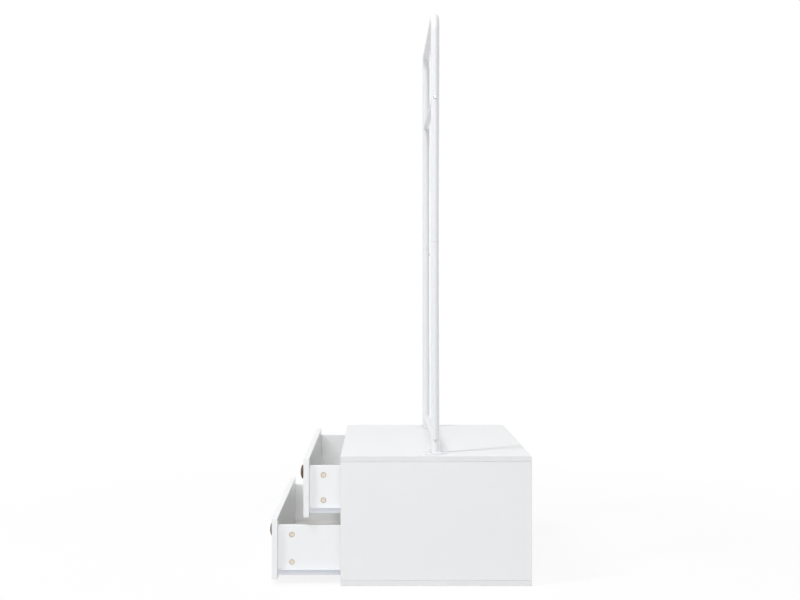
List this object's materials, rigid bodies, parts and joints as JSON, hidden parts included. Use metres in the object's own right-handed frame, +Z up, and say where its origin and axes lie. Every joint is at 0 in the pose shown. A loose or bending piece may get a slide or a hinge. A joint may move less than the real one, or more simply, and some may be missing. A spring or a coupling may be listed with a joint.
{
  "type": "clothes rack",
  "caption": "White tubular clothes rail with an arched top and cross rails, standing on a low white cabinet with pull-out drawers on roller runners and turned wooden knobs.",
  "frame": {"origin": "centre of the cabinet's underside, on the floor", "axes": "+X to the cabinet's right along the rail, -Y the way the drawers open, +Z up"},
  "size_m": [0.8, 0.7623, 1.661],
  "materials": {
    "white_laminate": "white melamine-faced particle board",
    "white_hardboard": "white lacquered hardboard",
    "white_powder_coat": "white powder-coated steel tube",
    "grey_epoxy_steel": "pale grey epoxy-coated steel",
    "white_nylon": "moulded white nylon",
    "cream_plastic": "moulded cream plastic",
    "brown_wood": "turned brown hardwood, oiled",
    "zinc_steel": "zinc-plated steel"
  },
  "bodies": {
    "cabinet": {"top_board": "white_laminate", "bottom_board": "white_laminate", "right_side_panel": "white_laminate", "left_side_panel": "white_laminate", "back_panel": "white_hardboard", "rack_arch": "white_powder_coat", "right_post": "white_powder_coat", "left_post": "white_powder_coat", "hanging_rail": "white_powder_coat", "lower_rail": "white_powder_coat", "hanging_rail_right_screw": "zinc_steel", "hanging_rail_left_screw": "zinc_steel", "lower_rail_right_screw": "zinc_steel", "lower_rail_left_screw": "zinc_steel", "right_joint_screw": "zinc_steel", "left_joint_screw": "zinc_steel", "right_flange_screw_1": "zinc_steel", "right_flange_screw_2": "zinc_steel", "right_flange_screw_3": "zinc_steel", "left_flange_screw_1": "zinc_steel", "left_flange_screw_2": "zinc_steel", "left_flange_screw_3": "zinc_steel", "upper_right_cabinet_runner": "grey_epoxy_steel", "upper_left_cabinet_runner": "grey_epoxy_steel", "lower_right_cabinet_runner": "grey_epoxy_steel", "lower_left_cabinet_runner": "grey_epoxy_steel"},
    "upper_drawer": {"upper_drawer_front": "white_laminate", "upper_drawer_right_side": "white_laminate", "upper_drawer_left_side": "white_laminate", "upper_drawer_back": "white_laminate", "upper_drawer_bottom": "white_hardboard", "upper_right_knob": "brown_wood", "upper_left_knob": "brown_wood", "upper_right_high_cam": "cream_plastic", "upper_right_low_cam": "cream_plastic", "upper_left_high_cam": "cream_plastic", "upper_left_low_cam": "cream_plastic", "upper_right_drawer_runner": "grey_epoxy_steel", "upper_left_drawer_runner": "grey_epoxy_steel"},
    "lower_drawer": {"lower_drawer_front": "white_laminate", "lower_drawer_right_side": "white_laminate", "lower_drawer_left_side": "white_laminate", "lower_drawer_back": "white_laminate", "lower_drawer_bottom": "white_hardboard", "lower_right_knob": "brown_wood", "lower_left_knob": "brown_wood", "lower_right_high_cam": "cream_plastic", "lower_right_low_cam": "cream_plastic", "lower_left_high_cam": "cream_plastic", "lower_left_low_cam": "cream_plastic", "lower_right_drawer_runner": "grey_epoxy_steel", "lower_left_drawer_runner": "grey_epoxy_steel"},
    "upper_right_front_roller_body": {"upper_right_front_roller": "white_nylon"},
    "upper_left_front_roller_body": {"upper_left_front_roller": "white_nylon"},
    "lower_right_front_roller_body": {"lower_right_front_roller": "white_nylon"},
    "lower_left_front_roller_body": {"lower_left_front_roller": "white_nylon"},
    "upper_right_rear_roller_body": {"upper_right_rear_roller": "white_nylon"},
    "upper_left_rear_roller_body": {"upper_left_rear_roller": "white_nylon"},
    "lower_right_rear_roller_body": {"lower_right_rear_roller": "white_nylon"},
    "lower_left_rear_roller_body": {"lower_left_rear_roller": "white_nylon"}
  },
  "joints": [
    {"name": "upper_drawer_slide", "type": "slide", "parent": "cabinet", "child": "upper_drawer", "axis": [0, -1, 0], "range_m": [-0.0905, 0.269]},
    {"name": "lower_drawer_slide", "type": "slide", "parent": "cabinet", "child": "lower_drawer", "axis": [0, -1, 0], "range_m": [-0.1815, 0.178]},
    {"name": "upper_right_front_roller_spin", "type": "hinge", "parent": "cabinet", "child": "upper_right_front_roller_body", "pos_m": [0.379, -0.2575, 0.2097], "axis": [1, 0, 0], "continuous": true},
    {"name": "upper_left_front_roller_spin", "type": "hinge", "parent": "cabinet", "child": "upper_left_front_roller_body", "pos_m": [-0.379, -0.2575, 0.2097], "axis": [1, 0, 0], "continuous": true},
    {"name": "lower_right_front_roller_spin", "type": "hinge", "parent": "cabinet", "child": "lower_right_front_roller_body", "pos_m": [0.379, -0.2575, 0.0317], "axis": [1, 0, 0], "continuous": true},
    {"name": "lower_left_front_roller_spin", "type": "hinge", "parent": "cabinet", "child": "lower_left_front_roller_body", "pos_m": [-0.379, -0.2575, 0.0317], "axis": [1, 0, 0], "continuous": true},
    {"name": "upper_right_rear_roller_spin", "type": "hinge", "parent": "upper_drawer", "child": "upper_right_rear_roller_body", "pos_m": [0.3765, 0.1215, 0.2092], "axis": [1, 0, 0], "continuous": true},
    {"name": "upper_left_rear_roller_spin", "type": "hinge", "parent": "upper_drawer", "child": "upper_left_rear_roller_body", "pos_m": [-0.3765, 0.1215, 0.2092], "axis": [1, 0, 0], "continuous": true},
    {"name": "lower_right_rear_roller_spin", "type": "hinge", "parent": "lower_drawer", "child": "lower_right_rear_roller_body", "pos_m": [0.3765, 0.0305, 0.0312], "axis": [1, 0, 0], "continuous": true},
    {"name": "lower_left_rear_roller_spin", "type": "hinge", "parent": "lower_drawer", "child": "lower_left_rear_roller_body", "pos_m": [-0.3765, 0.0305, 0.0312], "axis": [1, 0, 0], "continuous": true}
  ],
  "couplings": [
    {"joint": "upper_right_front_roller_spin", "follows": "upper_drawer_slide", "rad_per_m": 111.11},
    {"joint": "upper_left_front_roller_spin", "follows": "upper_drawer_slide", "rad_per_m": 111.11},
    {"joint": "upper_right_rear_roller_spin", "follows": "upper_drawer_slide", "rad_per_m": 111.11},
    {"joint": "upper_left_rear_roller_spin", "follows": "upper_drawer_slide", "rad_per_m": 111.11},
    {"joint": "lower_right_front_roller_spin", "follows": "lower_drawer_slide", "rad_per_m": 111.11},
    {"joint": "lower_left_front_roller_spin", "follows": "lower_drawer_slide", "rad_per_m": 111.11},
    {"joint": "lower_right_rear_roller_spin", "follows": "lower_drawer_slide", "rad_per_m": 111.11},
    {"joint": "lower_left_rear_roller_spin", "follows": "lower_drawer_slide", "rad_per_m": 111.11}
  ]
}
